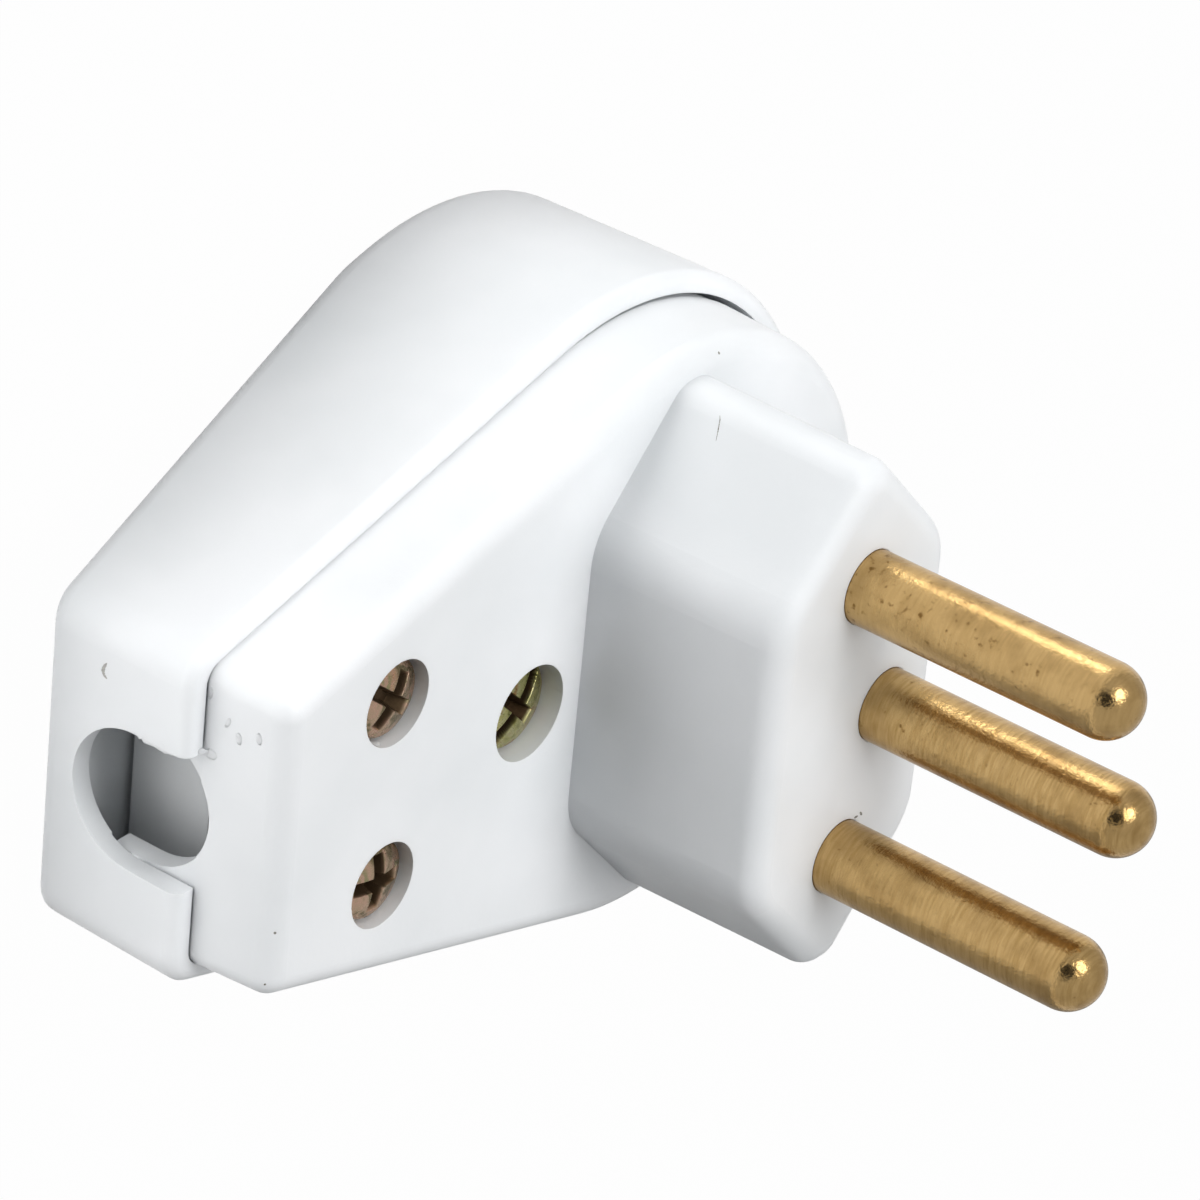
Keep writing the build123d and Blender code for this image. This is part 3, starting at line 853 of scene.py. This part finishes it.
class PLUG_OT_flaws(Operator):
    """Adds the ragged flash that the mould left, the specks and scratch of grime, and the dusty nick"""

    bl_idname = "plug.flaws"
    bl_label = "Flash and grime"

    # Pixels of the photograph that each mark runs through.
    slot_lip = ((126, 728), (138, 734), (148, 740), (158, 745), (168, 750), (180, 754))
    corner_flash = ((198, 751), (208, 753), (217, 757))
    stubs = (
        ((209, 692), (213, 694)),
        ((226, 721), (230, 725)),
        ((236, 738), (242, 740)),
        ((256, 738), (262, 740)),
        ((371, 740), (377, 745)),
    )
    specks = (
        ((718, 352), (720, 354)),
        ((860, 812), (862, 815)),
        ((854, 818), (858, 816)),
        ((274, 932), (276, 934)),
        ((264, 984), (266, 985)),
    )
    scratch = ((720, 411), (720, 420), (718, 431), (716, 441))
    nick = ((107, 663), (104, 667), (103, 671), (104, 675), (107, 679))

    def execute(self, context):
        settings, stage = context.scene.plug_flaws, context.scene.plug_stage
        ragged_seed = 7
        tree, rng = self.moulding_tree(), np.random.default_rng(ragged_seed)
        flash = [self.ridge(tree, stage, self.slot_lip, settings.lip_width, settings.lip_height, rng)]
        for pixels in (self.corner_flash, *self.stubs):
            flash.append(self.ridge(tree, stage, pixels, settings.stub_width, settings.stub_height, rng))
        self.join("moulding_flash", flash, bpy.data.materials["white moulded ABS"])
        marks = [self.ridge(tree, stage, self.scratch, settings.scratch_width, settings.mark_height, rng)]
        for pixels in self.specks:
            marks.append(self.ridge(tree, stage, pixels, settings.speck_width, settings.mark_height, rng))
        self.join("grime_marks", marks, ground_in_grime("ground-in grime", settings.grime))
        smear = self.ridge(tree, stage, self.nick, settings.nick_width, settings.mark_height, rng)
        self.join("rubbed_nick", [smear], ground_in_grime("rubbed-in dust", settings.dust))
        return {"FINISHED"}

    def moulding_tree(self):
        """The mouldings' faces, to be found by rays."""
        points, faces = [], []
        for name in ("base_housing", "rear_cover"):
            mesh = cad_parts[name].data
            faces += [[i + len(points) for i in face.vertices] for face in mesh.polygons]
            points += [corner.co.copy() for corner in mesh.vertices]
        return BVHTree.FromPolygons(points, faces)

    def seen_point(self, tree, stage, pixel):
        """The point of the moulding that shows at a pixel of the photograph, and its normal."""
        right, up = Vector(stage.camera_right), Vector(stage.camera_up)
        reach = stage.lens / sensor_width * image_size
        ray = right * (pixel[0] - image_size / 2) - up * (pixel[1] - image_size / 2) - right.cross(up) * reach
        point, normal, _, _ = tree.ray_cast(Vector(stage.camera_place), ray.normalized())
        if point is None:
            raise RuntimeError(f"no moulding shows at pixel {pixel}")
        return point, normal

    def ridge(self, tree, stage, pixels, width, height, rng, count=24, around=10):
        """A low ragged ridge, half sunk into the moulding, through the points that show at the pixels."""
        hits = np.array([self.seen_point(tree, stage, pixel) for pixel in pixels])
        share, marks = np.linspace(0, 1, count), np.linspace(0, 1, len(hits))
        places, ups = ([np.interp(share, marks, hits[:, kind, axis]) for axis in range(3)] for kind in (0, 1))
        places, ups = np.transpose(places), np.transpose(ups)
        along = np.gradient(places, axis=0)
        along /= np.linalg.norm(along, axis=1)[:, None]
        aside = np.cross(ups, along)
        ragged, blunt_end = (0.75, 1.2), 0.01
        swell = np.sqrt(np.clip(1 - (2 * share - 1) ** 2, blunt_end, 1)) * rng.uniform(*ragged, count)
        turn = np.linspace(0, 2 * pi, around, endpoint=False)[None, :, None]
        ring = aside[:, None] * np.cos(turn) * width / 2 + ups[:, None] * np.sin(turn) * height
        rows = places[:, None] + swell[:, None, None] * ring
        # What would stand out past the low sides of the part's box is sunk until it is flush with them.
        sink = np.maximum(np.array(cad_box[0]) - rows.reshape(-1, 3).min(axis=0), 0)
        return skin(rows[::-1] + sink, places[-1] + sink, places[0] + sink)

    def join(self, name, shapes, material):
        """One piece of several closed shapes."""
        points, faces = [], []
        for shape_points, shape_faces in shapes:
            faces += [[i + len(points) for i in face] for face in shape_faces]
            points += list(shape_points)
        piece(name, points, faces, material)


class PLUG_OT_stage(Operator):
    """Sets up the surroundings, the floor, the lamps, the walls, the card and the camera"""

    bl_idname = "plug.stage"
    bl_label = "Stage"

    def execute(self, context):
        settings = context.scene.plug_stage
        scene = context.scene
        scene.view_settings.view_transform = "Standard"
        self.set_world(scene, settings)
        self.lay_floor(settings)
        self.hang_lamps(settings)
        self.stand_walls(settings)
        self.lay_card()
        right, up = Vector(settings.camera_right), Vector(settings.camera_up)
        turn = Matrix((right, up, right.cross(up))).transposed().to_4x4()
        camera = bpy.data.objects.new("camera", bpy.data.cameras.new("camera"))
        camera.data.lens = settings.lens
        camera.data.sensor_width = sensor_width
        camera.data.clip_start, camera.data.clip_end = 0.01, 10
        camera.matrix_world = Matrix.Translation(settings.camera_place) @ turn
        scene.collection.objects.link(camera)
        scene.camera = camera
        return {"FINISHED"}

    def set_world(self, scene, settings):
        """White to the camera and in reflections, while matt surfaces get only the sky setting's light."""
        world = bpy.data.worlds.new("white surroundings")
        scene.world = world
        world.use_nodes = True
        tree = world.node_tree
        tree.nodes.clear()
        seen = self.seen_ray(tree)
        light = add_node(tree, "ShaderNodeBackground", {"Color": white, "Strength": settings.sky})
        paper = add_node(tree, "ShaderNodeBackground", {"Color": white, "Strength": 1.0})
        both = add_node(
            tree,
            "ShaderNodeMixShader",
            {0: seen, 1: light.outputs["Background"], 2: paper.outputs["Background"]},
        )
        add_node(tree, "ShaderNodeOutputWorld", {"Surface": both.outputs["Shader"]})

    def seen_ray(self, tree):
        """1 for a ray that shows the background itself: to the camera, in a reflection or through glass."""
        path = add_node(tree, "ShaderNodeLightPath")
        direct = add_node(
            tree,
            "ShaderNodeMath",
            {0: path.outputs["Is Camera Ray"], 1: path.outputs["Is Glossy Ray"]},
            operation="MAXIMUM",
        )
        return add_node(
            tree,
            "ShaderNodeMath",
            {0: direct.outputs["Value"], 1: path.outputs["Is Transmission Ray"]},
            operation="MAXIMUM",
        ).outputs["Value"]

    def lay_floor(self, settings):
        """A floor that looks white, and shows a share of the plug's shadow."""
        paper, tree = new_material("white paper sweep")
        matt = add_node(tree, "ShaderNodeBsdfDiffuse", {"Color": rgba(settings.floor_colour)})
        glow = add_node(tree, "ShaderNodeEmission", {"Color": white, "Strength": 1.0})
        seen = self.seen_ray(tree)
        share = add_node(
            tree, "ShaderNodeMath", {0: seen, 1: 1 - settings.shadow_share}, operation="MULTIPLY"
        )
        both = add_node(
            tree,
            "ShaderNodeMixShader",
            {0: share.outputs["Value"], 1: matt.outputs["BSDF"], 2: glow.outputs["Emission"]},
        )
        add_node(tree, "ShaderNodeOutputMaterial", {"Surface": both.outputs["Shader"]})
        half, level = 1.5, cad_box[0].z
        corners = [(-half, -half, level), (half, -half, level), (half, half, level), (-half, half, level)]
        plain_object("floor", corners, [(0, 1, 2, 3)], paper)

    def hang_lamps(self, settings):
        """Softboxes stand off along a direction, and the other lamps lie at a place of their own."""
        centre, off = (cad_box[0] + cad_box[1]) / 2, 0.65
        softboxes = (
            ("main softbox", (-0.1, 0.62, 0.78), 0.32, settings.main_power, True),
            ("side softbox", (0.1, 1.0, 0.15), 0.6, settings.side_power, False),
            ("top softbox", (0.0, 0.12, 1.0), 0.5, settings.top_power, False),
            ("back softbox", (0.7, 0.6, 0.3), 0.5, settings.back_power, False),
        )
        for name, direction, width, power, mirrored in softboxes:
            place = centre + Vector(direction).normalized() * off
            box = self.area_lamp(name, direction, place, (width, width), power)
            box.visible_glossy = mirrored
        # Light that comes up off the table, beside the plug and at its cord end.
        below, table_z = (0, 0, -1), -0.0355
        self.area_lamp("lit table", below, (-0.014, 0.085, table_z), (0.16, 0.11), settings.table_power)
        end_place, end_size = (-0.1, 0.008, table_z), (0.11, 0.12)
        self.area_lamp("lit table end", below, end_place, end_size, settings.table_end_power)
        # A low strip that faces the cord end.
        strip_place, strip_size = (-0.1, 0.02, -0.026), (0.08, 0.018)
        self.area_lamp("end strip", (-1, 0.2, 0), strip_place, strip_size, settings.end_power)
        # Light that the cord hole lets in, spread broadly over the clamp.
        glow_place, glow_size = (-0.0357, -0.003, -0.0268), (0.005, 0.007)
        glow = self.area_lamp("inner glow", (-1, 0, -0.25), glow_place, glow_size, settings.inner_power)
        glow.data.spread = radians(120)
        # A strip that shows only in reflections, and gives the pins their long glints.
        glint_place, glint_size = (0.032, 0.095, -0.0345), (0.016, 0.13)
        glint = self.area_lamp("glint strip", (0.1, 0.1, -1), glint_place, glint_size, settings.glint_power)
        glint.visible_diffuse = False
        glint.visible_glossy = True

    def area_lamp(self, name, direction, place, size, power):
        """An oval lamp that shines from a direction, hidden from the camera and from reflections."""
        lamp = bpy.data.lights.new(name, "AREA")
        lamp.shape = "ELLIPSE"
        lamp.size, lamp.size_y = size
        lamp.energy = power
        made = bpy.data.objects.new(name, lamp)
        bpy.context.scene.collection.objects.link(made)
        made.location = place
        made.rotation_mode = "QUATERNION"
        made.rotation_quaternion = Vector(direction).normalized().to_track_quat("Z", "Y")
        made.visible_camera = False
        made.visible_glossy = False
        return made

    def stand_walls(self, settings):
        """Studio walls that show only in reflections: grey all round, and dark where the camera stands."""
        cloth_tone, cloth_angle, step_degrees = 0.02, radians(22), 4
        materials = []
        for name, tone in (("grey studio wall", settings.wall), ("black camera cloth", cloth_tone)):
            made, tree = new_material(name)
            glow = add_node(tree, "ShaderNodeEmission", {"Color": white, "Strength": tone})
            add_node(tree, "ShaderNodeOutputMaterial", {"Surface": glow.outputs["Emission"]})
            materials.append(made)
        reach, floor = 0.9, cad_box[0].z
        turns = np.radians(np.arange(0, 360, step_degrees))
        rises = np.radians(np.arange(step_degrees, 90, step_degrees))
        points = [
            (reach * cos(rise) * cos(turn), reach * cos(rise) * sin(turn), floor + reach * sin(rise))
            for rise in rises
            for turn in turns
        ]
        index = np.arange(len(points)).reshape(len(rises), len(turns))
        after = np.roll(index, -1, axis=1)
        faces = np.stack([index[:-1], after[:-1], after[1:], index[1:]], axis=-1).reshape(-1, 4).tolist()
        walls = plain_object("walls", points, faces, materials[0])
        walls.data.materials.append(materials[1])
        towards = Vector(settings.camera_place).normalized()
        for face in walls.data.polygons:
            face.material_index = int(face.center.normalized().angle(towards) < cloth_angle)
        walls.visible_camera = False
        walls.visible_diffuse = False
        walls.visible_shadow = False

    def lay_card(self):
        """A grey card below the pins, which keeps the floor's white off them and off the boss's foot."""
        colour, thickness = linear("#BDBDBD"), 0.2 * mm
        board, tree = new_material("grey card board")
        dull = add_node(tree, "ShaderNodeBsdfDiffuse", {"Color": rgba(colour)})
        add_node(tree, "ShaderNodeOutputMaterial", {"Surface": dull.outputs["BSDF"]})
        level = cad_box[0].z + thickness
        near, far, left, right = -0.05, -0.45, -0.3, 0.4
        corners = [(left, far, level), (right, far, level), (right, near, level), (left, near, level)]
        card = plain_object("card", corners, [(0, 1, 2, 3)], board)
        card.visible_camera = False
        card.visible_shadow = False


class PLUG_PT_panel(Panel):
    """Lists the plug's operators"""

    bl_idname = "PLUG_PT_panel"
    bl_label = "Right-angle plug"
    bl_space_type = "VIEW_3D"
    bl_region_type = "UI"
    bl_category = "Plug"

    def draw(self, context):
        for operator in operators:
            self.layout.operator(operator.bl_idname)


operators = (PLUG_OT_housing, PLUG_OT_pins, PLUG_OT_screws, PLUG_OT_flaws, PLUG_OT_stage)
settings_groups = {
    "plug_housing": PlugHousingSettings,
    "plug_pins": PlugPinSettings,
    "plug_screws": PlugScrewSettings,
    "plug_flaws": PlugFlawSettings,
    "plug_stage": PlugStageSettings,
}


def register():
    """Adds the settings, the operators and the panel to Blender."""
    for name, group in settings_groups.items():
        bpy.utils.register_class(group)
        setattr(bpy.types.Scene, name, PointerProperty(type=group))
    for made in (*operators, PLUG_PT_panel):
        bpy.utils.register_class(made)


def unregister():
    """Takes the panel, the operators and the settings out again."""
    for made in (PLUG_PT_panel, *reversed(operators)):
        bpy.utils.unregister_class(made)
    for name, group in settings_groups.items():
        delattr(bpy.types.Scene, name)
        bpy.utils.unregister_class(group)


def main():
    """Dresses the plug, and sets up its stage."""
    register()
    bpy.ops.plug.housing()
    bpy.ops.plug.pins()
    bpy.ops.plug.screws()
    bpy.ops.plug.flaws()
    bpy.ops.plug.stage()


if __name__ == "__main__":
    main()
